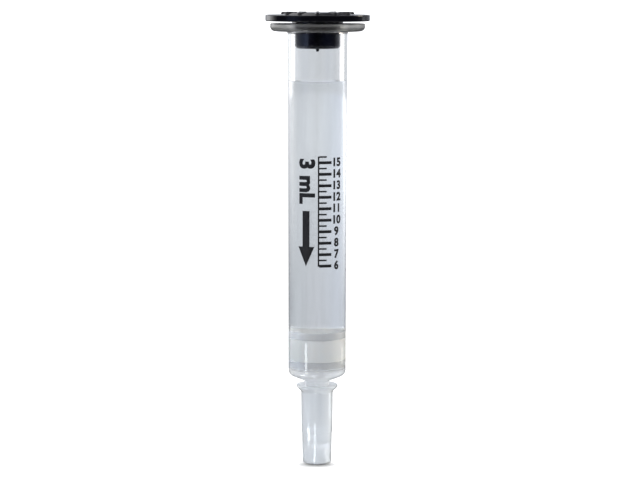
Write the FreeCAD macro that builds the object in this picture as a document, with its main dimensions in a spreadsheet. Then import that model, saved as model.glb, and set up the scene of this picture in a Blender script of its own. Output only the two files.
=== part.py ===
import FreeCAD, Part
import math
import os
import Sketcher

# Immunoaffinity column: a clear moulded barrel with a thumb flange and a male Luer outlet,
# a gel bed held between two porous discs under a long head of storage buffer, a black
# press-in stopper in the mouth and a translucent cap on the outlet. Millimetres, +Z up,
# axis on Z, the outlet cap's foot at Z = 0.

Vector = FreeCAD.Vector

doc = FreeCAD.newDocument("ImmunoaffinityColumn")
sheet = doc.addObject("Spreadsheet::Sheet", "Sizes")

# Driving dimensions: name, value, meaning.
SIZES = [
    ("cap_length", 13.92, "outlet cap, foot to collar top"),
    ("cap_foot_diameter", 5.0, "outside, at the foot"),
    ("cap_grip_height", 5.4, "foot to the small outside step"),
    ("cap_grip_diameter", 5.22, "outside, just under the step"),
    ("cap_body_diameter", 5.4, "outside, just above the step"),
    ("cap_body_top_diameter", 5.54, "outside, where the collar starts"),
    ("cap_collar_diameter", 7.2, "collar round the mouth"),
    ("cap_collar_thickness", 0.4, "straight edge of the collar"),
    ("cap_collar_slope", 0.85, "height of the cone under the collar"),
    ("cap_skirt_depth", 2.4, "hollow under the web"),
    ("cap_skirt_wall", 0.75, "wall round that hollow"),
    ("cap_web", 1.1, "closed web between hollow and socket"),
    ("cap_well_depth", 3.25, "free space below the seated outlet"),
    ("cap_clearance", 0.02, "socket to outlet taper, on the radius"),
    ("cap_edge", 0.25, "bevel of the foot's outer edge"),
    ("luer_tip_diameter", 3.88, "outlet taper, small end"),
    ("luer_taper", 0.06, "growth of the diameter per millimetre"),
    ("luer_length", 7.85, "outlet taper, end to shoulder"),
    ("luer_bore", 2.0, "drip bore through the outlet"),
    ("luer_edge", 0.2, "bevel of the outlet's end"),
    ("shoulder_rise", 1.2, "height of the cone from outlet to wall"),
    ("shoulder_radius", 1.1, "rounded corner under the wall"),
    ("floor_thickness", 2.26, "outlet root to the barrel's floor"),
    ("drain_count", 8, "radial drain channels in the floor"),
    ("drain_width", 0.55, "width of a drain channel"),
    ("drain_depth", 0.35, "depth of a drain channel"),
    ("drain_circle", 6.9, "diameter that the channels reach"),
    ("barrel_bore", 8.0, "inside diameter, parallel"),
    ("barrel_base_diameter", 10.04, "outside, at the shoulder"),
    ("barrel_waist_diameter", 10.18, "outside, where the flare starts"),
    ("barrel_top_diameter", 10.42, "outside, under the flange"),
    ("flare_length", 12.7, "flared top of the wall, under the flange"),
    ("bore_depth", 60.22, "floor to mouth"),
    ("mouth_bevel", 0.15, "lead-in at the mouth"),
    ("flange_diameter", 16.45, "round flange at the mouth"),
    ("flange_thickness", 1.34, "thickness of the flange"),
    ("flange_edge", 0.8, "rounding of the flange's lower rim"),
    ("flange_rim", 0.15, "bevel of the flange's upper rim"),
    ("flange_root", 0.35, "bevelled root between flange and wall"),
    ("lower_frit_thickness", 1.45, "porous disc on the floor"),
    ("gel_depth", 3.91, "settled gel"),
    ("upper_frit_thickness", 1.3, "porous disc on the gel"),
    ("buffer_height", 43.71, "liquid above the upper disc, at the wall"),
    ("meniscus_depth", 0.4, "dip of the liquid's surface on the axis"),
    ("plug_length", 4.24, "stopper plug below the mouth"),
    ("plug_clearance", 0.03, "plug to bore, on the radius"),
    ("plug_bevel", 0.4, "bevelled end of the plug"),
    ("plug_crown", 0.2, "fall of the plug's end towards its centre"),
    ("gate_diameter", 0.55, "moulding gate left on the plug's end"),
    ("gate_length", 0.35, "length of that stub"),
    ("boss_diameter", 8.8, "stop ring that seats on the mouth"),
    ("boss_height", 0.42, "gap that it keeps under the disc"),
    ("disc_diameter", 18.1, "stopper disc"),
    ("disc_thickness", 1.1, "thickness of the disc"),
    ("disc_edge", 0.15, "bevel of the disc's rims"),
    ("pad_base_diameter", 13.9, "raised pad on the disc, at its foot"),
    ("pad_top_diameter", 10.2, "flat top of the pad"),
    ("pad_height", 0.4, "height of the pad"),
    ("grip_count", 12, "raised bars round the pad"),
    ("grip_width", 0.6, "width of a bar"),
    ("grip_inner_circle", 8.6, "diameter where the bars start"),
    ("grip_circle", 12.6, "diameter that the bars reach"),
    ("grip_rise", 0.08, "height of the bars over the pad"),
]
for row, (alias, size, meaning) in enumerate(SIZES, start=1):
    sheet.set(f"A{row}", alias)
    sheet.set(f"B{row}", str(size))
    sheet.setAlias(f"B{row}", alias)
    sheet.set(f"C{row}", meaning)
doc.recompute()


def value(formula):
    """What a formula on the sheet's names comes to."""
    return float(sheet.evalExpression(formula))


def new_piece(label, level):
    """A body on the Z axis, whose own zero stands at the level that the formula gives."""
    body = doc.addObject("PartDesign::Body", label)
    body.Label = label
    body.setExpression("Placement.Base.z", level)
    return body


def new_sketch(body, name, plane):
    """A sketch on one of the body's own origin planes."""
    sketch = body.newObject("Sketcher::SketchObject", name)
    support = next(part for part in body.Origin.OriginFeatures if part.Role == plane)
    sketch.AttachmentSupport = (support, [""])
    sketch.MapMode = "FlatFace"
    return sketch


def bind(sketch, kind, line, formula):
    """Fixes one coordinate of a line's start, by formula, or on the axis itself for a zero."""
    if formula == "0":
        axis = -2 if kind == "DistanceX" else -1
        sketch.addConstraint(Sketcher.Constraint("PointOnObject", line, 1, axis))
        return
    rule = sketch.addConstraint(Sketcher.Constraint(kind, -1, 1, line, 1, value(formula)))
    sketch.setExpression(f"Constraints[{rule}]", formula)


def draw_outline(sketch, corners):
    """Closed outline of straight lines through corners, each given by two formulas."""
    places = [Vector(value(across), value(along), 0) for across, along in corners]
    for here, there in zip(places, places[1:] + places[:1]):
        sketch.addGeometry(Part.LineSegment(here, there))
    for line in range(len(corners)):
        following = (line + 1) % len(corners)
        sketch.addConstraint(Sketcher.Constraint("Coincident", line, 2, following, 1))
    for line, (across, along) in enumerate(corners):
        bind(sketch, "DistanceX", line, across)
        bind(sketch, "DistanceY", line, along)


def turn(body, name, corners):
    """Turned solid: an outline of (radius, height) corners spun round the body's Z axis."""
    sketch = new_sketch(body, name + "_outline", "XZ_Plane")
    draw_outline(sketch, corners)
    turned = body.newObject("PartDesign::Revolution", name)
    turned.Profile = sketch
    turned.ReferenceAxis = (sketch, ["V_Axis"])
    turned.Angle = 360
    doc.recompute()
    return turned


def soften(body, name, kind, size, rims):
    """Fillet or chamfer on the circular rims at the given (radius, height) formulas."""
    base = body.Tip
    places = [(value(radius), value(height)) for radius, height in rims]
    edges = []
    for number, edge in enumerate(base.Shape.Edges, start=1):
        if not isinstance(edge.Curve, Part.Circle):
            continue
        rim = (edge.Curve.Radius, edge.Curve.Center.z)
        if any(math.dist(rim, place) < 1e-4 for place in places):
            edges.append(f"Edge{number}")
    softened = body.newObject("PartDesign::" + kind, name)
    softened.Base = (base, edges)
    softened.setExpression("Radius" if kind == "Fillet" else "Size", size)
    doc.recompute()
    return softened


def repeat_round(body, name, feature, sketch, count):
    """Copies of a feature, evenly round the Z axis."""
    pattern = body.newObject("PartDesign::PolarPattern", name)
    pattern.Originals = [feature]
    pattern.Axis = (sketch, ["N_Axis"])
    pattern.Angle = 360
    pattern.setExpression("Occurrences", count)
    body.Tip = pattern
    doc.recompute()
    return pattern


# Levels above the foot of the outlet cap, which the pieces stack up to.
OUTLET_END = "Sizes.cap_skirt_depth + Sizes.cap_web + Sizes.cap_well_depth"
FLOOR = OUTLET_END + " + Sizes.luer_length + Sizes.floor_thickness"
GEL_FOOT = FLOOR + " + Sizes.lower_frit_thickness"
GEL_TOP = GEL_FOOT + " + Sizes.gel_depth"
BUFFER_FOOT = GEL_TOP + " + Sizes.upper_frit_thickness"
MOUTH = FLOOR + " + Sizes.bore_depth"

BORE_RADIUS = "Sizes.barrel_bore / 2"
DRIP_RADIUS = "Sizes.luer_bore / 2"

# Barrel, one clear moulding, drawn from the end of its outlet upwards.
floor_level = "Sizes.luer_length + Sizes.floor_thickness"
mouth_level = floor_level + " + Sizes.bore_depth"
flange_foot = mouth_level + " - Sizes.flange_thickness"
shoulder_level = "Sizes.luer_length + Sizes.shoulder_rise"
outlet_root = "(Sizes.luer_tip_diameter + Sizes.luer_taper * Sizes.luer_length) / 2"

barrel = new_piece("barrel", OUTLET_END)
turn(barrel, "barrel_wall", [
    (DRIP_RADIUS, "0"),
    ("Sizes.luer_tip_diameter / 2", "0"),
    (outlet_root, "Sizes.luer_length"),
    ("Sizes.barrel_base_diameter / 2", shoulder_level),
    ("Sizes.barrel_waist_diameter / 2", flange_foot + " - Sizes.flare_length"),
    ("Sizes.barrel_top_diameter / 2", flange_foot),
    ("Sizes.flange_diameter / 2", flange_foot),
    ("Sizes.flange_diameter / 2", mouth_level),
    (BORE_RADIUS + " + Sizes.mouth_bevel", mouth_level),
    (BORE_RADIUS, mouth_level + " - Sizes.mouth_bevel"),
    (BORE_RADIUS, floor_level),
    (DRIP_RADIUS, floor_level),
])
soften(barrel, "shoulder_corner", "Fillet", "Sizes.shoulder_radius",
       [("Sizes.barrel_base_diameter / 2", shoulder_level)])
soften(barrel, "flange_lower_rim", "Fillet", "Sizes.flange_edge",
       [("Sizes.flange_diameter / 2", flange_foot)])
soften(barrel, "flange_upper_rim", "Chamfer", "Sizes.flange_rim",
       [("Sizes.flange_diameter / 2", mouth_level)])
soften(barrel, "flange_root_bevel", "Chamfer", "Sizes.flange_root",
       [("Sizes.barrel_top_diameter / 2", flange_foot)])
soften(barrel, "outlet_end_rim", "Chamfer", "Sizes.luer_edge",
       [("Sizes.luer_tip_diameter / 2", "0")])

# Radial channels in the floor carry the liquid from under the lower disc to the outlet.
drain_plan = new_sketch(barrel, "drain_plan", "XY_Plane")
drain_plan.setExpression("AttachmentOffset.Base.z", floor_level)
drain_reach = "Sizes.drain_circle / 2"
drain_root = "Sizes.luer_bore / 4"
draw_outline(drain_plan, [
    (drain_root, "-Sizes.drain_width / 2"),
    (drain_reach, "-Sizes.drain_width / 2"),
    (drain_reach, "Sizes.drain_width / 2"),
    (drain_root, "Sizes.drain_width / 2"),
])
drain = barrel.newObject("PartDesign::Pocket", "drain_channel")
drain.Profile = drain_plan
drain.setExpression("Length", "Sizes.drain_depth")
doc.recompute()
repeat_round(barrel, "drain_channels", drain, drain_plan, "Sizes.drain_count")

# Porous discs and the settled gel between them, stacked on the barrel's floor.
def packed_disc(label, level, thickness):
    """A plain disc that fills the bore from the given level."""
    disc = new_piece(label, level)
    turn(disc, label + "_disc", [
        ("0", "0"), (BORE_RADIUS, "0"), (BORE_RADIUS, thickness), ("0", thickness),
    ])
    return disc


lower_frit = packed_disc("lower_frit", FLOOR, "Sizes.lower_frit_thickness")
gel_bed = packed_disc("gel_bed", GEL_FOOT, "Sizes.gel_depth")
upper_frit = packed_disc("upper_frit", GEL_TOP, "Sizes.upper_frit_thickness")

# Storage buffer on the upper disc, with the hollow surface that the wall draws up.
storage_buffer = packed_disc("storage_buffer", BUFFER_FOOT, "Sizes.buffer_height")
dip = new_sketch(storage_buffer, "meniscus_outline", "XZ_Plane")
rim_radius = value(BORE_RADIUS)
rim_height = value("Sizes.buffer_height")
dip_height = rim_height - value("Sizes.meniscus_depth")
surface_radius = (rim_radius ** 2 + value("Sizes.meniscus_depth") ** 2) / (2 * value("Sizes.meniscus_depth"))
surface_centre = Vector(0, dip_height + surface_radius, 0)
half_angle = math.asin(rim_radius / surface_radius)
surface_arc = Part.ArcOfCircle(Part.Circle(surface_centre, Vector(0, 0, 1), surface_radius),
                               1.5 * math.pi, 1.5 * math.pi + half_angle)
dip.addGeometry(surface_arc)
dip.addGeometry(Part.LineSegment(Vector(rim_radius, rim_height, 0), Vector(0, rim_height, 0)))
dip.addGeometry(Part.LineSegment(Vector(0, rim_height, 0), Vector(0, dip_height, 0)))
for line, following, end in ((0, 1, 2), (1, 2, 2)):
    dip.addConstraint(Sketcher.Constraint("Coincident", line, end, following, 1))
dip.addConstraint(Sketcher.Constraint("Coincident", 2, 2, 0, 1))
dip.addConstraint(Sketcher.Constraint("PointOnObject", 0, 3, -2))
bind(dip, "DistanceX", 1, BORE_RADIUS)
bind(dip, "DistanceY", 1, "Sizes.buffer_height")
bind(dip, "DistanceX", 2, "0")
bind(dip, "DistanceY", 2, "Sizes.buffer_height")
bind(dip, "DistanceX", 0, "0")
bind(dip, "DistanceY", 0, "Sizes.buffer_height - Sizes.meniscus_depth")
meniscus = storage_buffer.newObject("PartDesign::Groove", "meniscus")
meniscus.Profile = dip
meniscus.ReferenceAxis = (dip, ["V_Axis"])
meniscus.Angle = 360
doc.recompute()

# Buffer that stands in the drip bore, held there by the outlet cap.
outlet_buffer = new_piece("outlet_buffer", OUTLET_END)
turn(outlet_buffer, "outlet_column", [
    ("0", "0"), (DRIP_RADIUS, "0"), (DRIP_RADIUS, floor_level), ("0", floor_level),
])

# Stopper, one glossy black moulding: its own zero is the stop ring that seats on the mouth.
stopper = new_piece("stopper", MOUTH)
plug_radius = BORE_RADIUS + " - Sizes.plug_clearance"
disc_foot = "Sizes.boss_height"
disc_top = disc_foot + " + Sizes.disc_thickness"
pad_top = disc_top + " + Sizes.pad_height"
gate_root = "-Sizes.plug_length - Sizes.plug_crown"
turn(stopper, "stopper_plug", [
    ("0", gate_root + " - Sizes.gate_length"),
    ("Sizes.gate_diameter / 2", gate_root + " - Sizes.gate_length"),
    ("Sizes.gate_diameter / 2", gate_root),
    (plug_radius + " - Sizes.plug_bevel", "-Sizes.plug_length"),
    (plug_radius, "-Sizes.plug_length + Sizes.plug_bevel"),
    (plug_radius, "0"),
    ("Sizes.boss_diameter / 2", "0"),
    ("Sizes.boss_diameter / 2", disc_foot),
    ("Sizes.disc_diameter / 2", disc_foot),
    ("Sizes.disc_diameter / 2", disc_top),
    ("Sizes.pad_base_diameter / 2", disc_top),
    ("Sizes.pad_top_diameter / 2", pad_top),
    ("0", pad_top),
])
soften(stopper, "disc_rims", "Chamfer", "Sizes.disc_edge",
       [("Sizes.disc_diameter / 2", disc_foot), ("Sizes.disc_diameter / 2", disc_top)])

# Low bars round the pad give the thumb a grip.
grip_plan = new_sketch(stopper, "grip_plan", "XY_Plane")
grip_plan.setExpression("AttachmentOffset.Base.z", disc_top)
grip_root = "Sizes.grip_inner_circle / 2"
grip_reach = "Sizes.grip_circle / 2"
draw_outline(grip_plan, [
    (grip_root, "-Sizes.grip_width / 2"),
    (grip_reach, "-Sizes.grip_width / 2"),
    (grip_reach, "Sizes.grip_width / 2"),
    (grip_root, "Sizes.grip_width / 2"),
])
grip = stopper.newObject("PartDesign::Pad", "grip_bar")
grip.Profile = grip_plan
grip.setExpression("Length", "Sizes.pad_height + Sizes.grip_rise")
doc.recompute()
repeat_round(stopper, "grip_bars", grip, grip_plan, "Sizes.grip_count")

# Outlet cap, one translucent moulding: a tapered socket for the outlet above a closed web,
# a hollow foot below it, and a collar to pull it off by.
tip_cap = new_piece("tip_cap", "0")
web_top = "Sizes.cap_skirt_depth + Sizes.cap_web"
collar_foot = "Sizes.cap_length - Sizes.cap_collar_thickness"
slope_foot = collar_foot + " - Sizes.cap_collar_slope"
socket_end = "Sizes.luer_tip_diameter / 2 + Sizes.cap_clearance"
socket_mouth = (socket_end + " + Sizes.luer_taper / 2 * (Sizes.cap_length - ("
                + OUTLET_END + "))")
skirt_radius = "Sizes.cap_foot_diameter / 2 - Sizes.cap_skirt_wall"
turn(tip_cap, "cap_wall", [
    (skirt_radius, "0"),
    ("Sizes.cap_foot_diameter / 2", "0"),
    ("Sizes.cap_grip_diameter / 2", "Sizes.cap_grip_height"),
    ("Sizes.cap_body_diameter / 2", "Sizes.cap_grip_height"),
    ("Sizes.cap_body_top_diameter / 2", slope_foot),
    ("Sizes.cap_collar_diameter / 2", collar_foot),
    ("Sizes.cap_collar_diameter / 2", "Sizes.cap_length"),
    (socket_mouth, "Sizes.cap_length"),
    (socket_end, OUTLET_END),
    (socket_end, web_top),
    ("0", web_top),
    ("0", "Sizes.cap_skirt_depth"),
    (skirt_radius, "Sizes.cap_skirt_depth"),
])
soften(tip_cap, "foot_edge", "Chamfer", "Sizes.cap_edge", [("Sizes.cap_foot_diameter / 2", "0")])

doc.recompute()
for item in doc.Objects:
    if "Invalid" in item.State or "Error" in item.State:
        raise RuntimeError(f"{item.Label} did not build: {item.State}")

pieces = [barrel, lower_frit, gel_bed, upper_frit, storage_buffer, outlet_buffer, stopper, tip_cap]
for piece in pieces:
    if piece.Shape.isNull() or not piece.Shape.isValid():
        raise RuntimeError(f"{piece.Label} has no valid shape")

os.makedirs("parts", exist_ok=True)
for piece in pieces:
    piece.Shape.exportStep(f"parts/{piece.Label}.step")
    box = piece.Shape.BoundBox
    print(f"{piece.Label}: {piece.Shape.Volume:.2f} mm3, Z {box.ZMin:.2f} to {box.ZMax:.2f}, "
          f"across {box.XLength:.2f}, solids {len(piece.Shape.Solids)}")
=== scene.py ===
import math

import bmesh
import bpy
import numpy as np
from mathutils import Matrix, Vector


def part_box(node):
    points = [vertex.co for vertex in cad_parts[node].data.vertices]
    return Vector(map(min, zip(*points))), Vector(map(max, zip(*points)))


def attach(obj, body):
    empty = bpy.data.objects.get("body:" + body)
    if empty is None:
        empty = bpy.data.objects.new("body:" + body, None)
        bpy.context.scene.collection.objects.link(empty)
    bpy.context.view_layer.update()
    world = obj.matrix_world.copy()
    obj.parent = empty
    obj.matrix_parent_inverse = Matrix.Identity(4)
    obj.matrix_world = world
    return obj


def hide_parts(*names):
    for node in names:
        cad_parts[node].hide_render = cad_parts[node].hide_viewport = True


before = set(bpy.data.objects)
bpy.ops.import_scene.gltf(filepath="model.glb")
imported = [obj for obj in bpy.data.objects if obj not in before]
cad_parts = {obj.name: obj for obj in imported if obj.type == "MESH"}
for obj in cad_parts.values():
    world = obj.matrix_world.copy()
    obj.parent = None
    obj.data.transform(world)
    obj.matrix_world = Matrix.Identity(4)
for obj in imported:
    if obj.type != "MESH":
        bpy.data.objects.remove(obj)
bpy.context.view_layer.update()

# Barrel: one clear polypropylene moulding with a thumb flange, a drafted wall, a rounded
# shoulder and a male Luer outlet. The bore is parallel and slightly hazed by its core pin,
# and eight shallow channels in the floor lead to the drip bore.
MM = 0.001
BODY = "root"
SIDES = 240
barrel_low, barrel_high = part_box("barrel")
OUTLET_END = barrel_low[2]
MOUTH = barrel_high[2]
FLANGE_RADIUS = barrel_high[0]
FLANGE_FOOT = MOUTH - 1.34 * MM
TAPER = 0.03
LUER_END_RADIUS = 1.94 * MM
LUER_LENGTH = 7.85 * MM
LUER_ROOT_RADIUS = LUER_END_RADIUS + TAPER * LUER_LENGTH
LUER_ROOT = OUTLET_END + LUER_LENGTH
DRIP_RADIUS = 1.0 * MM
SHOULDER = LUER_ROOT + 1.2 * MM
BASE_RADIUS = 5.02 * MM
WAIST_RADIUS = 5.09 * MM
TOP_RADIUS = 5.21 * MM
FLARE = FLANGE_FOOT - 12.7 * MM
FLARE_BEND = 1000 * MM
BORE_RADIUS = 4.0 * MM
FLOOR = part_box("lower_frit")[0][2]
DRAIN_COUNT = 8
DRAIN_WIDTH = 0.55 * MM
DRAIN_DEPTH = 0.35 * MM
DRAIN_REACH = 3.45 * MM
DRAIN_SLOPE = 0.12 * MM
DRAIN_RUN_OUT = 0.15 * MM
CLEAR_WALL = (0.985, 0.99, 0.995, 1)
HAZED_BORE = (0.96, 0.97, 0.985, 1)
# Painted shade: the flange's grey stands in for the shade under the black stopper disc.
SHADED_FLANGE = (0.46, 0.455, 0.445, 1)
COOL_FOOT = (0.94, 0.965, 0.995, 1)
POLYPROPYLENE_INDEX = 1.49


def rounded(corners, closed, pitch=1.2 * MM, near=0.03 * MM, turns=7):
    """Outline through (radius, height, rounding) corners. Each corner is the arc of that rounding
    which touches both its runs. Each run has even points, and one close to either end."""
    spots = np.array(corners, float)
    count = len(spots)
    pieces = []
    for index in range(count):
        here, round_by = spots[index, :2], spots[index, 2]
        if not closed and index in (0, count - 1) or round_by == 0:
            pieces.append(here[None])
            continue
        back = spots[index - 1, :2] - here
        ahead = spots[(index + 1) % count, :2] - here
        back /= np.linalg.norm(back)
        ahead /= np.linalg.norm(ahead)
        half = np.arccos(np.clip(back @ ahead, -1, 1)) / 2
        middle = here + (back + ahead) / np.linalg.norm(back + ahead) * round_by / np.sin(half)
        start = here + back * round_by / np.tan(half) - middle
        end = here + ahead * round_by / np.tan(half) - middle
        share = np.linspace(0, 1, turns)[:, None]
        sweep = np.pi - 2 * half
        arc = (np.sin((1 - share) * sweep) * start + np.sin(share * sweep) * end) / np.sin(sweep)
        pieces.append(middle + arc)
    line = []
    for index in range(count if closed else count - 1):
        first, last = pieces[index][-1], pieces[(index + 1) % count][0]
        length = np.linalg.norm(last - first)
        steps = max(1, int(length / pitch))
        stops = np.append(np.linspace(0, 1, steps + 1), [near / length, 1 - near / length])
        share = np.unique(np.clip(stops, 0, 1))
        line += [pieces[index], first + (last - first) * share[1:-1, None]]
    if not closed:
        line.append(pieces[-1])
    return np.vstack(line)


def lathe(name, outline, relief=None, sides=SIDES):
    """Turned skin: (u, v) goes to (r(v) cos 2 pi u, r(v) sin 2 pi u, z(v)). Relief(r, angle, z),
    where it is given, is added to z. An outline that starts and ends on the axis gets two poles."""
    poles = outline[0, 0] == 0
    rows = outline[1:-1] if poles else outline
    angle = np.arange(sides) * 2 * np.pi / sides
    radius, turn_by = np.meshgrid(rows[:, 0], angle, indexing="ij")
    height = np.repeat(rows[:, 1:], sides, axis=1)
    if relief is not None:
        height = height + relief(radius, turn_by, height)
    points = np.stack([radius * np.cos(turn_by), radius * np.sin(turn_by), height], axis=-1)
    points = points.reshape(-1, 3)
    bands = len(rows) - 1 if poles else len(rows)
    row, column = np.meshgrid(np.arange(bands), np.arange(sides), indexing="ij")
    beside = (column + 1) % sides
    above = (row + 1) % len(rows)
    quads = np.stack([row * sides + column, row * sides + beside, above * sides + beside,
                      above * sides + column], axis=-1).reshape(-1, 4)
    faces = quads.tolist()
    if poles:
        lowest, highest = len(points), len(points) + 1
        ends = np.array([[0, 0, outline[0, 1]], [0, 0, outline[-1, 1]]])
        points = np.vstack([points, ends])
        ring = np.arange(sides)
        following = (ring + 1) % sides
        last = (len(rows) - 1) * sides
        faces += np.stack([np.full(sides, lowest), following, ring], axis=-1).tolist()
        top_fan = [np.full(sides, highest), last + ring, last + following]
        faces += np.stack(top_fan, axis=-1).tolist()
    return skin(name, points, faces)


def skin(name, points, faces):
    """A smooth-shaded object from points and faces, at the origin."""
    mesh = bpy.data.meshes.new(name)
    mesh.from_pydata(points.tolist(), [], faces)
    mesh.shade_smooth()
    mesh.update()
    piece = bpy.data.objects.new(name, mesh)
    bpy.context.scene.collection.objects.link(piece)
    return piece


def on_spokes(radius, angle, count, width, slope):
    """1 along even spokes and 0 between them. A point lies off its nearest spoke by the angle to
    it times its radius, and the fall over the edge of a spoke's width takes one slope."""
    spacing = 2 * np.pi / count
    off = np.abs((angle + spacing / 2) % spacing - spacing / 2) * radius
    return np.clip((width / 2 + slope / 2 - off) / slope, 0, 1)


def drained(radius, angle, height):
    """Floor relief: minus the depth along even spokes, out to the reach of the channels."""
    across = on_spokes(radius, angle, DRAIN_COUNT, DRAIN_WIDTH, DRAIN_SLOPE)
    along = np.clip((DRAIN_REACH - radius) / DRAIN_RUN_OUT, 0, 1)
    on_floor = (np.abs(height - FLOOR) < 0.02 * MM) & (radius > DRIP_RADIUS * 1.01)
    return -DRAIN_DEPTH * across * along * on_floor


def floor_rows(outline):
    """The outline with extra rows across the floor, so that the channels' ends are crisp."""
    inside = np.arange(DRIP_RADIUS + 0.2 * MM, BORE_RADIUS - 0.2 * MM, 0.1 * MM)
    flat = np.isclose(outline[:, 1], FLOOR, atol=1e-9)
    first = int(np.argmax(flat))
    last = first + int(flat[first:].sum()) - 1
    rows = np.stack([inside[::-1], np.full(len(inside), FLOOR)], axis=-1)
    return np.vstack([outline[:first + 1], rows, outline[last:]])


def finish_named(name):
    """A new material with its node tree, its Principled shader and its Object coordinates."""
    material = bpy.data.materials.new(name)
    material.use_nodes = True
    tree = material.node_tree
    shader = tree.nodes["Principled BSDF"]
    place = tree.nodes.new("ShaderNodeTexCoord").outputs["Object"]
    return material, tree, shader, place


def feed(tree, made, **sockets):
    """Links each named input of a node or gives it its value. A name such as _0 means the input
    of that number."""
    for key, given in sockets.items():
        name = int(key[1:]) if key[1:].isdigit() else key.replace("_", " ")
        if isinstance(given, bpy.types.NodeSocket):
            tree.links.new(given, made.inputs[name])
        else:
            made.inputs[name].default_value = given


def node(tree, kind, settings=None, **sockets):
    """A shader node with its settings and with its inputs fed."""
    made = tree.nodes.new("ShaderNode" + kind)
    for key, setting in (settings or {}).items():
        setattr(made, key, setting)
    feed(tree, made, **sockets)
    return made


def maths(tree, operation, *values):
    """What a maths node makes of two or three values."""
    named = {"_" + str(index): given for index, given in enumerate(values)}
    return node(tree, "Math", {"operation": operation}, **named).outputs[0]


def eased(tree, value, start, end, low=0.0, high=1.0, soft=False):
    """Low up to start, high from end on, and between them straight or, if soft, a smooth S."""
    ease = {"interpolation_type": "SMOOTHSTEP" if soft else "LINEAR"}
    return node(tree, "MapRange", ease, Value=value, From_Min=start, From_Max=end,
                To_Min=low, To_Max=high).outputs[0]


def between(tree, low, high, share):
    """Low where the share is 0, high where it is 1, and even between them."""
    return eased(tree, share, 0.0, 1.0, low, high)


def blend(tree, share, first, second):
    """The first colour where the share is 0, the second where it is 1, and a mix between them."""
    return node(tree, "Mix", {"data_type": "RGBA"}, _0=share, _6=first, _7=second).outputs[2]


def scaled(tree, vector, factor):
    """A vector or a colour times a number."""
    return node(tree, "VectorMath", {"operation": "SCALE"}, _0=vector, _3=factor).outputs[0]


def drawn_out(tree, place, share):
    """Object coordinates with the height times a share, so that a pattern runs long up a piece."""
    return node(tree, "Mapping", {"vector_type": "POINT"}, Vector=place,
                Scale=(1.0, 1.0, share)).outputs[0]


def length_of(tree, vector):
    """Length of a vector, or distance of a place from the origin."""
    return node(tree, "VectorMath", {"operation": "LENGTH"}, _0=vector).outputs["Value"]


def surface(tree, share, first, second):
    """Makes the surface the first shader where the share is 0 and the second where it is 1."""
    mixed = node(tree, "MixShader", Fac=share, _1=first, _2=second)
    tree.links.new(mixed.outputs[0], tree.nodes["Material Output"].inputs["Surface"])


def lamps_pass(tree, shader, share):
    """Lets that share of lamp light through a clear wall, so that what it holds is lit: shadow
    rays see a plain tint."""
    shadow = node(tree, "LightPath").outputs["Is Shadow Ray"]
    clear = node(tree, "BsdfTransparent", Color=(share, share, share, 1))
    surface(tree, shadow, shader.outputs[0], clear.outputs[0])


barrel_outline = rounded([
    (DRIP_RADIUS, OUTLET_END, 0.08 * MM),
    (LUER_END_RADIUS, OUTLET_END, 0.2 * MM),
    (LUER_ROOT_RADIUS, LUER_ROOT, 0.25 * MM),
    (BASE_RADIUS, SHOULDER, 1.1 * MM),
    (WAIST_RADIUS, FLARE, FLARE_BEND),
    (TOP_RADIUS, FLANGE_FOOT, 0.4 * MM),
    (FLANGE_RADIUS, FLANGE_FOOT, 0.85 * MM),
    (FLANGE_RADIUS, MOUTH, 0.15 * MM),
    (BORE_RADIUS, MOUTH, 0.15 * MM),
    (BORE_RADIUS, FLOOR, 0.1 * MM),
    (DRIP_RADIUS, FLOOR, 0.12 * MM),
], closed=True)
barrel = lathe("barrel_shell", floor_rows(barrel_outline), drained)

barrel_finish, tree, shader, place = finish_named("clear_polypropylene")
apart = node(tree, "SeparateXYZ", _0=place).outputs
height = apart["Z"]
flattened = node(tree, "CombineXYZ", X=apart["X"], Y=apart["Y"], Z=0.0).outputs[0]
from_axis = length_of(tree, flattened)
bore_face = eased(tree, from_axis, BORE_RADIUS + 0.10 * MM, BORE_RADIUS + 0.02 * MM, soft=True)
outer_face = maths(tree, "SUBTRACT", 1.0, bore_face)
in_flange = eased(tree, height, FLANGE_FOOT - 0.15 * MM, FLANGE_FOOT + 0.1 * MM, soft=True)
below_bed = eased(tree, height, FLOOR + 0.9 * MM, FLOOR - 0.4 * MM, soft=True)
thick = maths(tree, "MULTIPLY", in_flange, outer_face)
drawn = drawn_out(tree, place, 0.06)
streak = node(tree, "TexNoise", Vector=drawn, Scale=900.0, Detail=3.0, Roughness=0.6)
haze = eased(tree, streak.outputs["Fac"], 0.3, 0.7, 0.90, 0.98)
hazed = scaled(tree, blend(tree, bore_face, CLEAR_WALL, HAZED_BORE), haze)
# Painted shade: the flange's outer face turns grey. Its roughness is the real haze.
flange_shaded = blend(tree, thick, hazed, SHADED_FLANGE)
tinted = blend(tree, below_bed, flange_shaded, COOL_FOOT)
wall_rough = between(tree, 0.03, 0.33, thick)
foot_rough = between(tree, 0.0, 0.32, below_bed)
rough = maths(tree, "ADD", wall_rough, foot_rough)
dull = eased(tree, height, MOUTH - 0.65 * MM, MOUTH - 0.2 * MM, 0.02, 0.22, soft=True)
milky = eased(tree, height, LUER_ROOT, SHOULDER, 0.9, 0.5)
dull_flange = maths(tree, "MULTIPLY", thick, dull)
dull_foot = maths(tree, "MULTIPLY", below_bed, milky)
veil = maths(tree, "ADD", dull_flange, dull_foot)
ripple = node(tree, "TexNoise", Vector=drawn, Scale=260.0, Detail=2.0).outputs["Fac"]
bump = node(tree, "Bump", Distance=0.2 * MM, Height=ripple,
            Strength=between(tree, 0.05, 0.0, thick))
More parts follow.
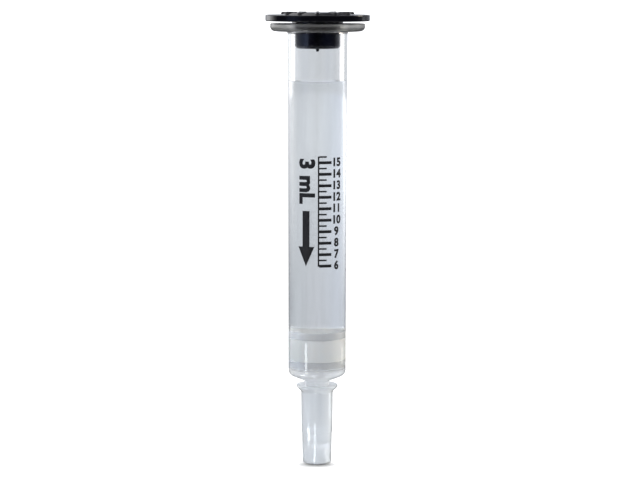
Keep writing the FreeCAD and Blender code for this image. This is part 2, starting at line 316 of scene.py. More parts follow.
feed(tree, shader, Base_Color=tinted, Roughness=rough, IOR=POLYPROPYLENE_INDEX,
     Transmission_Weight=maths(tree, "SUBTRACT", 1.0, veil), Normal=bump.outputs[0],
     Specular_IOR_Level=between(tree, 0.5, 0.12, thick),
     Coat_Weight=between(tree, 0.1, 0.9, below_bed), Coat_Roughness=0.03)
lamps_pass(tree, shader, 0.93)
barrel.data.materials.append(barrel_finish)
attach(barrel, BODY)
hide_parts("barrel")

# Lower frit: a disc of white sintered polyethylene, pressed onto the barrel's floor. Its rim is
# wetted to the wall, so the two have no air between them.
WETTED = 0.012 * MM
BORE_REACH = BORE_RADIUS + WETTED
BED_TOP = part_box("upper_frit")[1][2]
FRIT_EDGE = 0.12 * MM
FRIT_DARK = (0.61, 0.63, 0.65)
FRIT_PALE = (0.78, 0.795, 0.81)
# Painted light: a pale cool tone painted on the discs towards the left side of the bore and on the
# bed's top face, standing in for a bright screen's light from the left and light from above.
FRIT_LIT = (0.86, 0.90, 0.97)
LEFT_LIGHT_START = -1.2 * MM
LEFT_LIGHT_FULL = -3.2 * MM
TOP_LIGHT_SKIN = 0.12 * MM


def plug_disc(name, edge):
    """A disc that fills the bore between its node's levels, with its rims rounded by edge."""
    low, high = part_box(name)
    corners = [(0, low[2], 0), (BORE_REACH, low[2], edge), (BORE_REACH, high[2], edge),
               (0, high[2], 0)]
    return lathe(name + "_disc", rounded(corners, closed=False, pitch=0.25 * MM))


def two_tones(tree, share, first, second):
    """Colour ramp from the first tone to the second."""
    ramp = node(tree, "ValToRGB", Fac=share)
    ramp.color_ramp.elements[0].color = (*first, 1)
    ramp.color_ramp.elements[1].color = (*second, 1)
    return ramp.outputs[0]


def granular(name, dark, pale, lit_tone, grain, depth, least_rough):
    """Pressed or settled grains: cells of two near tones, with a dimple between each and the next.
    Painted light pales them towards the left side of the bore and on the top face of the bed."""
    material, tree, shader, place = finish_named(name)
    cells = node(tree, "TexVoronoi", {"feature": "F1"}, Vector=place, Scale=1 / grain).outputs
    patches = node(tree, "TexNoise", Vector=place, Scale=700.0, Detail=3.0).outputs["Fac"]
    by_cell = node(tree, "SeparateColor", Color=cells["Color"]).outputs[0]
    mottle = node(tree, "Mix", {"data_type": "FLOAT"}, Factor=0.55, A=by_cell, B=patches)
    tones = two_tones(tree, mottle.outputs[0], dark, pale)
    apart = node(tree, "SeparateXYZ", _0=place).outputs
    # Painted light: paler towards the left side, and on the top face of the bed.
    lit_left = eased(tree, apart["X"], LEFT_LIGHT_START, LEFT_LIGHT_FULL, high=0.95, soft=True)
    lit_top = eased(tree, apart["Z"], BED_TOP - TOP_LIGHT_SKIN, BED_TOP - 0.02 * MM, high=0.4)
    painted_light = maths(tree, "MAXIMUM", lit_left, lit_top)
    bump = node(tree, "Bump", {"invert": True}, Strength=0.6, Distance=depth,
                Height=cells["Distance"])
    feed(tree, shader, Base_Color=blend(tree, painted_light, tones, (*lit_tone, 1)),
         Roughness=between(tree, least_rough, least_rough + 0.25, patches),
         Normal=bump.outputs[0], Subsurface_Weight=0.35, Subsurface_Radius=(1.0, 0.9, 0.8),
         Subsurface_Scale=0.6 * MM)
    return material


frit_finish = granular("sintered_polyethylene", FRIT_DARK, FRIT_PALE, FRIT_LIT,
                       grain=0.09 * MM, depth=0.03 * MM, least_rough=0.45)
lower_frit = plug_disc("lower_frit", FRIT_EDGE)
lower_frit.data.materials.append(frit_finish)
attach(lower_frit, BODY)
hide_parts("lower_frit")

# Gel bed: settled beads of antibody gel, cream grey and wet, which fill the bore between the
# two frits. It is poured in as a slurry and takes the bore's own shape.
GEL_EDGE = 0.04 * MM
GEL_DARK = (0.87, 0.89, 0.89)
GEL_PALE = (0.96, 0.98, 0.97)
GEL_LIT = (0.94, 1.0, 1.0)
gel_finish = granular("settled_gel", GEL_DARK, GEL_PALE, GEL_LIT,
                      grain=0.05 * MM, depth=0.01 * MM, least_rough=0.35)
gel_bed = plug_disc("gel_bed", GEL_EDGE)
gel_bed.data.materials.append(gel_finish)
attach(gel_bed, BODY)
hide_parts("gel_bed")

# Upper frit: a second disc of the same sintered polyethylene. It is pressed down the bore onto
# the settled gel, and holds it flat while liquid runs through.
upper_frit = plug_disc("upper_frit", FRIT_EDGE)
upper_frit.data.materials.append(frit_finish)
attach(upper_frit, BODY)
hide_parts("upper_frit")

# Storage buffer: the clear watery liquid above the upper frit. It wets the wall, and its surface
# is the dip that the wall draws up at the rim.
buffer_low, buffer_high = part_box("storage_buffer")
MENISCUS_DEPTH = 0.4 * MM
LIQUID_FOOT = buffer_low[2] - WETTED
LIQUID_RIM = buffer_high[2]
LIQUID_EDGE = 0.05 * MM
LIQUID_TINT = (0.965, 0.975, 0.98)
WATER_INDEX = 1.333


def meniscus(reach, rim, depth, steps=28):
    """Surface rows from rim to axis: the lowest cap of a ball, with its middle the depth under
    the rim. The ball's radius is reach squared plus depth squared, over twice the depth."""
    radius = np.linspace(reach, 0, steps)
    ball = (reach ** 2 + depth ** 2) / (2 * depth)
    return np.stack([radius, rim - depth + ball - np.sqrt(ball ** 2 - radius ** 2)], axis=-1)


def liquid(name, tint):
    """Clear watery liquid: smooth, of water's index, with a faint cloud of suspended matter."""
    material, tree, shader, place = finish_named(name)
    cloud = node(tree, "TexNoise", Vector=place, Scale=120.0, Detail=4.0, Roughness=0.55)
    thicker = [part * 0.97 for part in tint]
    feed(tree, shader, Base_Color=two_tones(tree, cloud.outputs["Fac"], thicker, tint),
         Roughness=0.0, IOR=WATER_INDEX, Transmission_Weight=1.0)
    lamps_pass(tree, shader, 0.95)
    return material


body_rows = rounded([(0, LIQUID_FOOT, 0), (BORE_REACH, LIQUID_FOOT, LIQUID_EDGE),
                     (BORE_REACH, LIQUID_RIM, 0)], closed=False)
surface_rows = meniscus(BORE_REACH, LIQUID_RIM, MENISCUS_DEPTH)
storage_buffer = lathe("storage_liquid", np.vstack([body_rows[:-1], surface_rows]))
buffer_finish = liquid("storage_buffer", LIQUID_TINT)
storage_buffer.data.materials.append(buffer_finish)
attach(storage_buffer, BODY)
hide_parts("storage_buffer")

# Outlet buffer: the same liquid, standing in the drip bore under the lower frit. It stays there
# because the outlet cap closes the bore's end.
outlet_low, outlet_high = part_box("outlet_buffer")
DRIP_REACH = DRIP_RADIUS + WETTED
DRIP_FOOT = outlet_low[2] + WETTED
DRIP_TOP = outlet_high[2] + WETTED
outlet_rows = rounded([(0, DRIP_FOOT, 0), (DRIP_REACH, DRIP_FOOT, LIQUID_EDGE),
                       (DRIP_REACH, DRIP_TOP, LIQUID_EDGE), (0, DRIP_TOP, 0)], closed=False)
outlet_buffer = lathe("outlet_liquid", outlet_rows, sides=96)
outlet_buffer.data.materials.append(buffer_finish)
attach(outlet_buffer, BODY)
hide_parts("outlet_buffer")

# Stopper: one glossy black polyethylene moulding. Its plug is pressed into the bore, its stop
# ring seats on the mouth, and low bars round the pad on its disc give the thumb a grip.
stopper_low, stopper_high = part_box("stopper")
PLUG_RADIUS = BORE_RADIUS - 0.03 * MM
PLUG_END = MOUTH - 4.24 * MM
PLUG_TIP = 0.4 * MM
GATE_RADIUS = 0.275 * MM
STOP_RING_RADIUS = 4.4 * MM
DISC_RADIUS = stopper_high[0]
DISC_FOOT = MOUTH + 0.42 * MM
DISC_TOP = DISC_FOOT + 1.1 * MM
DISC_EDGE = 0.18 * MM
PAD_TOP = DISC_TOP + 0.4 * MM
PAD_FOOT_RADIUS = 6.95 * MM
PAD_TOP_RADIUS = 5.1 * MM
GRIP_TOP = stopper_high[2]
GRIP_COUNT = 12
GRIP_WIDTH = 0.6 * MM
GRIP_START = 4.3 * MM
GRIP_REACH = 6.3 * MM
GRIP_SLOPE = 0.1 * MM
POLYETHYLENE_INDEX = 1.51


def gripped(radius, angle, height):
    """Pad relief: what is missing up to the bars' one level, along even spokes between their
    start and their reach, with each edge taking one slope."""
    across = on_spokes(radius, angle, GRIP_COUNT, GRIP_WIDTH, GRIP_SLOPE)
    inner_end = np.clip((radius - GRIP_START + GRIP_SLOPE / 2) / GRIP_SLOPE, 0, 1)
    outer_end = np.clip((GRIP_REACH + GRIP_SLOPE / 2 - radius) / GRIP_SLOPE, 0, 1)
    on_top = height > DISC_TOP - 0.01 * MM
    return (GRIP_TOP - height) * across * inner_end * outer_end * on_top


stopper_outline = rounded([
    (0, stopper_low[2], 0),
    (GATE_RADIUS, stopper_low[2], 0.08 * MM),
    (GATE_RADIUS, PLUG_END - 0.2 * MM, 0.05 * MM),
    (PLUG_RADIUS - PLUG_TIP, PLUG_END, 0.12 * MM),
    (PLUG_RADIUS, PLUG_END + PLUG_TIP, 0.25 * MM),
    (PLUG_RADIUS, MOUTH, 0.04 * MM),
    (STOP_RING_RADIUS, MOUTH, 0.06 * MM),
    (STOP_RING_RADIUS, DISC_FOOT, 0.06 * MM),
    (DISC_RADIUS, DISC_FOOT, DISC_EDGE),
    (DISC_RADIUS, DISC_TOP, DISC_EDGE),
    (PAD_FOOT_RADIUS, DISC_TOP, 0.3 * MM),
    (PAD_TOP_RADIUS, PAD_TOP, 0.5 * MM),
    (0, PAD_TOP, 0),
], closed=False, pitch=0.12 * MM)
stopper = lathe("stopper_moulding", stopper_outline, gripped)

stopper_finish, tree, shader, place = finish_named("black_polyethylene")
mottle = node(tree, "TexNoise", Vector=place, Scale=500.0, Detail=4.0).outputs["Fac"]
drawn = drawn_out(tree, place, 0.04)
peel = node(tree, "TexNoise", Vector=drawn, Scale=1500.0, Detail=3.0).outputs["Fac"]
bump = node(tree, "Bump", Strength=0.35, Distance=0.06 * MM, Height=peel)
feed(tree, shader, Base_Color=two_tones(tree, mottle, (0.002, 0.002, 0.003), (0.005, 0.005, 0.007)),
     Roughness=between(tree, 0.05, 0.12, mottle), IOR=POLYETHYLENE_INDEX, Normal=bump.outputs[0])
stopper.data.materials.append(stopper_finish)
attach(stopper, BODY)
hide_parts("stopper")

# Outlet cap: one translucent polyethylene moulding. A tapered socket grips the Luer outlet
# above a closed web, the foot below it is hollow, and the collar is there to pull it off by.
cap_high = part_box("tip_cap")[1]
CAP_TOP = cap_high[2]
COLLAR_RADIUS = cap_high[0]
COLLAR_FOOT = CAP_TOP - 0.4 * MM
COLLAR_FLARE = COLLAR_FOOT - 0.85 * MM
CAP_FOOT_RADIUS = 2.5 * MM
CAP_STEP = 5.4 * MM
BELOW_STEP_RADIUS = 2.61 * MM
ABOVE_STEP_RADIUS = 2.70 * MM
SLEEVE_RADIUS = 2.77 * MM
WEB_FOOT = 2.4 * MM
WEB_TOP = 3.5 * MM
SOCKET_RADIUS = LUER_END_RADIUS + 0.02 * MM
SOCKET_MOUTH_RADIUS = SOCKET_RADIUS + TAPER * (CAP_TOP - OUTLET_END)
SKIRT_RADIUS = CAP_FOOT_RADIUS - 0.75 * MM
cap_outline = rounded([
    (0, WEB_FOOT, 0),
    (SKIRT_RADIUS, WEB_FOOT, 0.2 * MM),
    (SKIRT_RADIUS, 0, 0.06 * MM),
    (CAP_FOOT_RADIUS, 0, 0.25 * MM),
    (BELOW_STEP_RADIUS, CAP_STEP, 0.05 * MM),
    (ABOVE_STEP_RADIUS, CAP_STEP, 0.03 * MM),
    (SLEEVE_RADIUS, COLLAR_FLARE, 0.3 * MM),
    (COLLAR_RADIUS, COLLAR_FOOT, 0.12 * MM),
    (COLLAR_RADIUS, CAP_TOP, 0.12 * MM),
    (SOCKET_MOUTH_RADIUS, CAP_TOP, 0.1 * MM),
    (SOCKET_RADIUS, OUTLET_END, 0.3 * MM),
    (SOCKET_RADIUS, WEB_TOP, 0.5 * MM),
    (0, WEB_TOP, 0),
], closed=False, pitch=0.4 * MM)
tip_cap = lathe("tip_cap_moulding", cap_outline, sides=192)

cap_finish, tree, shader, place = finish_named("natural_polyethylene")
cloud = node(tree, "TexNoise", Vector=place, Scale=420.0, Detail=4.0, Roughness=0.6).outputs["Fac"]
peel = node(tree, "TexNoise", Vector=place, Scale=1500.0, Detail=2.0).outputs["Fac"]
bump = node(tree, "Bump", Strength=0.15, Distance=0.06 * MM, Height=peel)
feed(tree, shader, Base_Color=two_tones(tree, cloud, (0.91, 0.945, 0.985), (0.95, 0.98, 1.0)),
     Roughness=between(tree, 0.22, 0.38, cloud), IOR=POLYETHYLENE_INDEX, Normal=bump.outputs[0],
     Transmission_Weight=0.6, Coat_Weight=0.9, Coat_Roughness=0.06)
lamps_pass(tree, shader, 0.8)
tip_cap.data.materials.append(cap_finish)
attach(tip_cap, BODY)
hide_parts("tip_cap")

# Print: one colour of black ink, screened onto the outside of the barrel: a scale of tenths of a
# millilitre over the bed, a plain volume mark and an arrow that shows which way the liquid runs.
INK_SKIN = 0.02 * MM
MILLILITRE = 1000 * MM ** 3 / (math.pi * BORE_RADIUS ** 2)
SCALE_LINE = 0.35 * MM
SCALE_LINE_WIDTH = 0.26 * MM
SCALE_ENDS = np.array([0.595, 1.555])
HALF_TENTHS = range(12, 32)
LONG_TICK = (2.2 * MM, 0.25 * MM)
SHORT_TICK = (1.3 * MM, 0.14 * MM)
NUMERAL_SIZE = 1.95 * MM
NUMERAL_ARC = SCALE_LINE + 3.25 * MM
MARK_ARC = -2.0 * MM
VOLUME_SIZE = 3.8 * MM
VOLUME_HEIGHT = 50.2 * MM
SHAFT_HALF_WIDTH = 0.65 * MM
HEAD_HALF_WIDTH = 1.5 * MM
ARROW_TIP = 35.4 * MM
ARROW_NECK = 38.8 * MM
ARROW_TAIL = 45.0 * MM


def wall_radius(height):
    """Outside radius of the drafted wall at a height, straight between its three radii."""
    radii = [BASE_RADIUS, WAIST_RADIUS, TOP_RADIUS]
    return np.interp(height, [SHOULDER, FLARE, FLANGE_FOOT], radii)


def wrapped(flat):
    """Bends flat art (arc length, height, lift) onto the wall: the turn is the arc over the
    wall's radius, the reach is that radius plus the lift, and arc 0 faces the camera."""
    reach = wall_radius(flat[:, 1]) + flat[:, 2]
    turn = flat[:, 0] / wall_radius(flat[:, 1])
    return np.stack([reach * np.sin(turn), -reach * np.cos(turn), flat[:, 1]], axis=-1)


def stroke(low, high, heights):
    """A filled mark between two edges, whose arcs at each of its heights are low and high. Its
    face and its back are grids of nine even arcs a height, joined by a band round the edge."""
    heights = np.array(heights, float)
    across = np.linspace(0, 1, 9)
    left, right = np.broadcast_to(low, heights.shape), np.broadcast_to(high, heights.shape)
    arc = left[:, None] + (right - left)[:, None] * across
    rows, columns = arc.shape
    sheet = np.stack([arc, np.repeat(heights[:, None], columns, axis=1)], axis=-1).reshape(-1, 2)
    lifts = np.repeat([INK_SKIN, -INK_SKIN / 2], len(sheet))[:, None]
    points = np.hstack([np.vstack([sheet, sheet]), lifts])
    row, column = np.meshgrid(np.arange(rows - 1), np.arange(columns - 1), indexing="ij")
    first = (row * columns + column).ravel()
    top = np.stack([first, first + 1, first + columns + 1, first + columns], axis=-1)
    edge = np.concatenate([np.arange(columns), np.arange(1, rows) * columns + columns - 1,
                           (rows - 1) * columns + np.arange(columns - 2, -1, -1),
                           np.arange(rows - 2, 0, -1) * columns])
    after = np.roll(edge, -1)
    side = np.stack([edge + len(sheet), after + len(sheet), after, edge], axis=-1)
    return points, np.vstack([top, top[:, ::-1] + len(sheet), side])


def lettering(text, size, arc, height, turned):
    """Marks of the built-in typeface, centred at a place and, if turned, read from the top down.
    They are cut in strips fine enough to bend."""
    drawing = bpy.data.curves.new("lettering", "FONT")
    drawing.body = text
    drawing.size = size
    drawing.offset = size * 0.045
    drawing.resolution_u = 4
    drawing.align_x = drawing.align_y = "CENTER"
    drawing.extrude = INK_SKIN * 0.75
    maker = bpy.data.objects.new("lettering", drawing)
    mesh = bpy.data.meshes.new_from_object(maker)
    bpy.data.objects.remove(maker)
    work = bmesh.new()
    work.from_mesh(mesh)
    for cut in np.arange(-4 * MM, 4 * MM, 0.3 * MM):
        bmesh.ops.bisect_plane(work, geom=work.verts[:] + work.edges[:] + work.faces[:],
                               plane_co=(0, cut, 0) if turned else (cut, 0, 0),
                               plane_no=(0, 1, 0) if turned else (1, 0, 0))
    bmesh.ops.remove_doubles(work, verts=work.verts[:], dist=1e-7)
    work.to_mesh(mesh)
    work.free()
    spots = np.empty(len(mesh.vertices) * 3)
    mesh.vertices.foreach_get("co", spots)
    spots = spots.reshape(-1, 3)
    along, up = (spots[:, 1], -spots[:, 0]) if turned else (spots[:, 0], spots[:, 1])
    faces = [list(face.vertices) for face in mesh.polygons]
    bpy.data.meshes.remove(mesh)
    return np.stack([arc + along, height + up, spots[:, 2] + INK_SKIN / 4], axis=-1), faces


marks = [stroke(SCALE_LINE - SCALE_LINE_WIDTH, SCALE_LINE, BED_TOP + SCALE_ENDS * MILLILITRE)]
for half_tenths in HALF_TENTHS:
    tick_height = BED_TOP + half_tenths / 20 * MILLILITRE
    whole = half_tenths % 2 == 0
    tick, weight = LONG_TICK if whole else SHORT_TICK
    tick_edges = [tick_height - weight, tick_height + weight]
    marks.append(stroke(SCALE_LINE, SCALE_LINE + tick, tick_edges))
    if whole:
        numeral = str(half_tenths // 2)
        marks.append(lettering(numeral, NUMERAL_SIZE, NUMERAL_ARC, tick_height, turned=False))
marks.append(lettering("3 mL", VOLUME_SIZE, MARK_ARC, VOLUME_HEIGHT, turned=True))
marks.append(stroke(MARK_ARC - SHAFT_HALF_WIDTH, MARK_ARC + SHAFT_HALF_WIDTH,
                    [ARROW_NECK, ARROW_TAIL]))
head = np.array([0, HEAD_HALF_WIDTH])
marks.append(stroke(MARK_ARC - head, MARK_ARC + head, [ARROW_TIP, ARROW_NECK]))
starts = np.cumsum([0] + [len(points) for points, _ in marks])
ink_points = wrapped(np.vstack([points for points, _ in marks]))
ink_faces = [[int(corner) + int(start) for corner in face]
             for (_, faces), start in zip(marks, starts) for face in faces]
ink = skin("wall_print", ink_points, ink_faces)
ink.data.shade_flat()

ink_finish, tree, shader, place = finish_named("screen_ink")
speck = node(tree, "TexNoise", Vector=place, Scale=6000.0, Detail=3.0).outputs["Fac"]
feed(tree, shader, Base_Color=two_tones(tree, speck, (0.008, 0.008, 0.010), (0.020, 0.020, 0.024)),
     Roughness=between(tree, 0.35, 0.55, speck))
ink.data.materials.append(ink_finish)
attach(ink, BODY)

# Studio: a plain white floor that runs back out of sight under an even white surround, with a
# soft contact shadow. Clear and glossy faces see a room by bearing and distance instead: backdrop,
# side screens, a light overhead, the dark behind the camera, and bright strips on the floor.
SEEN_FAR = [
    (-180, 0.0, 0.0, 0.0), (-143, 0.01, 0.01, 0.03), (-132, 0.33, 0.40, 0.60),
    (-108, 0.10, 0.13, 0.20), (-72, 0.40, 0.42, 0.48), (-60, 1.40, 1.42, 1.45),
    (-36, 1.50, 1.50, 1.52), (-31, 0.90, 0.93, 0.97), (-8, 0.82, 0.85, 0.88),
    (12, 0.77, 0.80, 0.83), (26, 0.78, 0.80, 0.82), (33, 1.60, 1.60, 1.60),
    (60, 1.30, 1.30, 1.32), (72, 0.36, 0.38, 0.42), (100, 0.03, 0.03, 0.05),
    (130, 0.02, 0.03, 0.08), (180, 0.0, 0.0, 0.0)]
SEEN_MIDWAY = [
    (-180, 0.62, 0.64, 0.67), (-130, 0.62, 0.64, 0.67), (-105, 0.50, 0.52, 0.56),
    (-80, 0.60, 0.62, 0.66), (-66, 1.70, 1.72, 1.74), (-50, 2.80, 2.80, 2.80),
    (-38, 2.60, 2.62, 2.64), (-33, 1.30, 1.36, 1.44), (-26, 0.96, 1.01, 1.10),
    (-16, 0.87, 0.92, 0.99), (0, 0.84, 0.87, 0.90), (18, 0.82, 0.85, 0.88),
    (32, 0.76, 0.78, 0.80), (48, 0.88, 0.90, 0.94), (60, 0.66, 0.68, 0.72),
    (80, 0.40, 0.42, 0.46), (105, 0.45, 0.47, 0.50), (130, 0.62, 0.64, 0.67),
    (180, 0.62, 0.64, 0.67)]
SEEN_NEAR = [
    (-180, 0.62, 0.64, 0.67), (-130, 0.62, 0.64, 0.67), (-80, 0.94, 0.98, 1.04),
    (-40, 0.90, 0.93, 1.00), (-20, 0.76, 0.80, 0.87), (0, 0.69, 0.71, 0.75),
    (24, 0.66, 0.69, 0.72), (40, 0.54, 0.56, 0.59), (80, 0.38, 0.40, 0.44),
    (105, 0.45, 0.47, 0.50), (130, 0.62, 0.64, 0.67), (180, 0.62, 0.64, 0.67)]
MIRRORED = [
    (-180, 0.0, 0.0, 0.0), (-146, 0.01, 0.01, 0.03), (-128, 0.14, 0.18, 0.32),
    (-112, 0.12, 0.15, 0.26), (-104, 0.02, 0.02, 0.04), (-78, 0.02, 0.02, 0.03),
    (-68, 0.8, 0.8, 0.82), (-50, 2.4, 2.4, 2.45), (-36, 1.9, 1.9, 1.95),
    (-26, 0.8, 0.82, 0.86), (0, 0.50, 0.52, 0.56), (30, 0.35, 0.36, 0.4),
    (50, 0.30, 0.31, 0.34), (86, 0.02, 0.02, 0.03), (134, 0.0, 0.0, 0.0),
    (180, 0.0, 0.0, 0.0)]
OVERHEAD = [
    (-180, 0.02, 0.02, 0.03), (-110, 0.10, 0.10, 0.12), (-70, 0.60, 0.60, 0.62),
    (-2, 0.50, 0.50, 0.52), (1, 0.06, 0.06, 0.07), (30, 0.30, 0.30, 0.32),
    (90, 0.30, 0.30, 0.32), (180, 0.02, 0.02, 0.03)]
PALE_SURROUND = (0.99, 1.01, 1.05, 1)
SOFT_WHITE = (0.95, 0.965, 1.0, 1)
WHITE = (1, 1, 1, 1)
COOL = (0.93, 0.97, 1.0)
CREAM = (1.0, 0.97, 0.86)
STRIPS = [
    (COOL, (-135.5, -135.5), 5, 0.092, 0.134, 8.0), (COOL, (-165, -165), 4.5, 0.004, 0.036, 8.0),
    (COOL, (72, 76), 9, 0.038, 0.075, 4.2), (COOL, (98, 69), 7, 0.003, 0.036, 2.4),
    (CREAM, (62, 62), 8, 0.104, 0.127, 1.4), (COOL, (113, 113), 9, 0.004, 0.013, 3.0),
    (COOL, (-117, -117), 11, 0.019, 0.031, 11.0), (COOL, (59, 59), 5, 0.9, 3.6, 1.6),
    (COOL, (-76, -76), 30, 0.070, 0.1535, 0.6), (COOL, (122, 122), 20, 0.004, 0.075, 0.7)]
HOOP_CENTRE = (0.0, -0.0017, 0.0)
HOOP_RADIUS = 0.1565
HOOP_HALF_WIDTH = 0.0016
HOOP_BACK = 0.105
HOOP_BRIGHT = 2.4
GROUND_HALF_WIDTH = 6
GROUND_NEAR = -4
GROUND_BACK = 14
CONTACT_REACH = 4.2 * MM
CONTACT_DEPTH = 0.87
CONTACT_FRONT = (0.8 * MM, -2.4 * MM)
CONTACT_OPENNESS = (0.90, 0.48)
FLOOR_TONE = 0.9
# Where an even change starts and ends, then what it changes from and to, if not from 0 to 1.
FLOOR_GLOW = (0.3, 1.0, 0.45, 0.75)
NEAR_TO_MIDWAY = (0.2, 0.6)
MIDWAY_TO_FAR = (1.42, 1.52)
FOOT_GAIN = (0.05, 0.09, 1.45, 1.0)
MIRROR_FADE = (0.2, 1.2, 0.15, 1.0)
MIRROR_LIFT = (0.06, 0.17, 1.0, 1.6)
OVERHEAD_RISE = (0.20, 0.26)
HOMEWARD = (0.1, -0.15)


def by_bearing(tree, direction, stops):
    """Colour by compass bearing: 0 is straight back from the camera, negative is to the left."""
    flat = node(tree, "SeparateXYZ", _0=direction).outputs
    bearing = maths(tree, "ARCTAN2", flat["X"], flat["Y"])
    ramp = node(tree, "ValToRGB", Fac=eased(tree, bearing, -math.pi, math.pi))
    line = ramp.color_ramp
    line.elements[0].position, line.elements[1].position = 0, 1
    for degrees, *tone in stops[1:-1]:
        line.elements.new(0.5 + degrees / 360).color = (*tone, 1)
    line.elements[0].color = (*stops[0][1:], 1)
    line.elements[-1].color = (*stops[-1][1:], 1)
    return ramp.outputs[0]


def way_here(tree):
    """How a ray comes to the studio: its light path, and 1 if by way of a clear or glossy face."""
    seen = node(tree, "LightPath").outputs
    return seen, maths(tree, "MAXIMUM", seen["Is Transmission Ray"], seen["Is Glossy Ray"])


def room(tree, seen, direction, mirrored, backdrop):
    """What glossy and clear faces see: the mirrored room, or the backdrop behind the column, which
    is pale all the way round for a look straight through."""
    unit = node(tree, "VectorMath", {"operation": "NORMALIZE"}, _0=direction).outputs[0]
    northward = node(tree, "SeparateXYZ", _0=unit).outputs["Y"]
    homeward = eased(tree, northward, *HOMEWARD)
    direct = maths(tree, "LESS_THAN", seen["Glossy Depth"], 0.5)
    straight_back = maths(tree, "MULTIPLY", homeward, direct)
    lookout = blend(tree, straight_back, backdrop, PALE_SURROUND)
    return blend(tree, seen["Is Transmission Ray"], mirrored, lookout)


def strip(tree, place, far, bearings, half_width, nearest, farthest, bright):
    """Brightness of a strip on the floor between two distances. Its bearing runs evenly from the
    first of bearings at its near end to the second at its far end, half a width to each side."""
    flat = node(tree, "SeparateXYZ", _0=place).outputs
    angle = maths(tree, "ARCTAN2", flat["X"], flat["Y"])
    course = eased(tree, far, nearest, farthest, *[math.radians(bearing) for bearing in bearings])
    across = maths(tree, "COMPARE", angle, course, math.radians(half_width))
    along = maths(tree, "COMPARE", far, (nearest + farthest) / 2, (farthest - nearest) / 2)
    return maths(tree, "MULTIPLY", maths(tree, "MULTIPLY", across, along), bright)


ground = [[-GROUND_HALF_WIDTH, GROUND_NEAR, 0], [GROUND_HALF_WIDTH, GROUND_NEAR, 0],
          [GROUND_HALF_WIDTH, GROUND_BACK, 0], [-GROUND_HALF_WIDTH, GROUND_BACK, 0]]
floor = skin("floor", np.array(ground, float), [[0, 1, 2, 3]])
floor_finish, tree, shader, place = finish_named("white_floor")
seen, indirect = way_here(tree)
northing = node(tree, "SeparateXYZ", _0=place).outputs["Y"]
rearward = node(tree, "CombineXYZ", X=0.0, Y=0.85, Z=0.53).outputs[0]
openness = node(tree, "AmbientOcclusion", {"samples": 12}, Distance=CONTACT_REACH,
                Normal=rearward).outputs["AO"]
in_front = eased(tree, northing, *CONTACT_FRONT)
closeness = eased(tree, openness, *CONTACT_OPENNESS, high=CONTACT_DEPTH)
shade = maths(tree, "SUBTRACT", 1.0, maths(tree, "MULTIPLY", in_front, closeness))
far = length_of(tree, place)
own_light = maths(tree, "MULTIPLY", shade, eased(tree, far, *FLOOR_GLOW))
feed(tree, shader, Base_Color=maths(tree, "MULTIPLY", shade, FLOOR_TONE), Roughness=1.0,
     Specular_IOR_Level=0.0, Emission_Color=WHITE,
     Emission_Strength=maths(tree, "MULTIPLY", seen["Is Camera Ray"], own_light))

nearer = blend(tree, eased(tree, far, *NEAR_TO_MIDWAY), by_bearing(tree, place, SEEN_NEAR),
               by_bearing(tree, place, SEEN_MIDWAY))
farther = blend(tree, eased(tree, far, *MIDWAY_TO_FAR), nearer,
                by_bearing(tree, place, SEEN_FAR))
backdrop = scaled(tree, farther, eased(tree, far, *FOOT_GAIN))
mirrored = scaled(tree, by_bearing(tree, place, MIRRORED), eased(tree, far, *MIRROR_FADE))
from_hoop = node(tree, "VectorMath", {"operation": "DISTANCE"}, _0=place, _1=HOOP_CENTRE)
hoop = maths(tree, "COMPARE", from_hoop.outputs["Value"], HOOP_RADIUS, HOOP_HALF_WIDTH)
open_part = maths(tree, "LESS_THAN", northing, HOOP_BACK)
hoop_light = maths(tree, "MULTIPLY", hoop, maths(tree, "MULTIPLY", open_part, HOOP_BRIGHT))
strips = scaled(tree, COOL, hoop_light)
for tint, *shape in STRIPS:
    toned = scaled(tree, tint, strip(tree, place, far, *shape))
    strips = node(tree, "VectorMath", {"operation": "ADD"}, _0=toned, _1=strips).outputs[0]
bounced = maths(tree, "SUBTRACT", 1.0, seen["Is Transmission Ray"])
outlook = node(tree, "VectorMath", {"operation": "ADD"}, _1=scaled(tree, strips, bounced),
               _0=room(tree, seen, place, mirrored, backdrop))
patch = node(tree, "Emission", Color=outlook.outputs[0], Strength=1.0)
surface(tree, indirect, shader.outputs[0], patch.outputs[0])
floor.data.materials.append(floor_finish)

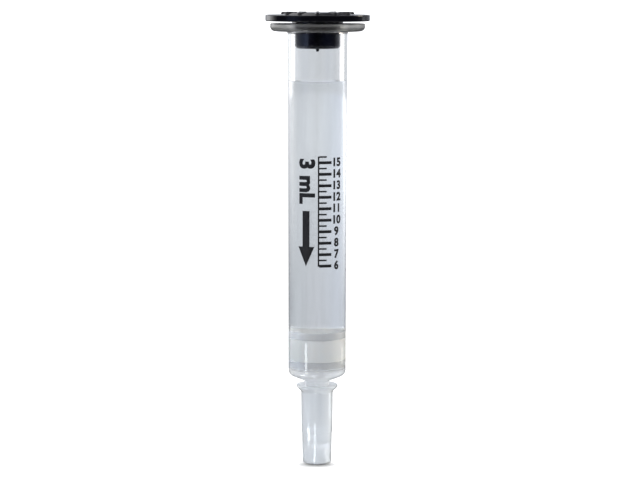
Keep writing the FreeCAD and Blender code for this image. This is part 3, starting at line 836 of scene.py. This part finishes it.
world = bpy.data.worlds.new("studio")
bpy.context.scene.world = world
world.use_nodes = True
tree = world.node_tree
seen, indirect = way_here(tree)
outward = node(tree, "TexCoord").outputs["Generated"]
rise = node(tree, "SeparateXYZ", _0=outward).outputs["Z"]
lifted = scaled(tree, by_bearing(tree, outward, MIRRORED), eased(tree, rise, *MIRROR_LIFT))
mirrored = blend(tree, eased(tree, rise, *OVERHEAD_RISE), lifted,
                 by_bearing(tree, outward, OVERHEAD))
outlook = room(tree, seen, outward, mirrored, by_bearing(tree, outward, SEEN_FAR))
tone = blend(tree, indirect, SOFT_WHITE, outlook)
whole = blend(tree, seen["Is Camera Ray"], tone, WHITE)
tree.links.new(whole, tree.nodes["Background"].inputs["Color"])


def soft_lamp(name, spot, size, power, colour):
    """A square area lamp at a spot, which looks at the middle of the column."""
    data = bpy.data.lights.new(name, "AREA")
    data.size = size
    data.energy = power
    data.color = colour
    lamp = bpy.data.objects.new(name, data)
    bpy.context.scene.collection.objects.link(lamp)
    lamp.location = spot
    aim = np.array([0, 0, MOUTH / 2]) - np.array(spot)
    tilt = math.atan2(math.hypot(aim[0], aim[1]), -aim[2])
    lamp.rotation_euler = (tilt, 0, math.atan2(aim[1], aim[0]) - math.pi / 2)
    lamp.visible_camera = False
    return lamp


soft_lamp("left_lamp", (-0.28, -0.16, 0.52), 0.35, 0.35, (0.80, 0.90, 1.0))
soft_lamp("right_lamp", (0.40, 0.17, 0.25), 0.16, 0.8, (1.0, 0.92, 0.76))

# Camera: a long lens a little above the stopper, so the top is seen almost edge-on and the foot
# from twelve degrees above. It leans by a tenth of a degree, as the column does in its picture.
CAMERA_FAR = 0.390
CAMERA_HEIGHT = 0.0855
CAMERA_SIDE = 0.00048
PITCH = math.radians(6.738)
LEAN = math.radians(0.1)
FOCAL_PIXELS = 2248
PICTURE_PIXELS = 640
SENSOR_WIDTH = 36
camera_data = bpy.data.cameras.new("camera")
camera_data.sensor_width = SENSOR_WIDTH
camera_data.lens = FOCAL_PIXELS * SENSOR_WIDTH / PICTURE_PIXELS
camera_data.clip_start = 0.01
camera_data.clip_end = 50
camera = bpy.data.objects.new("camera", camera_data)
bpy.context.scene.collection.objects.link(camera)
camera.location = (CAMERA_SIDE, -CAMERA_FAR, CAMERA_HEIGHT)
aimed = Matrix.Rotation(math.pi / 2 - PITCH, 3, "X") @ Matrix.Rotation(LEAN, 3, "Z")
camera.rotation_euler = aimed.to_euler()
bpy.context.scene.camera = camera
bpy.context.scene.view_settings.view_transform = "Standard"
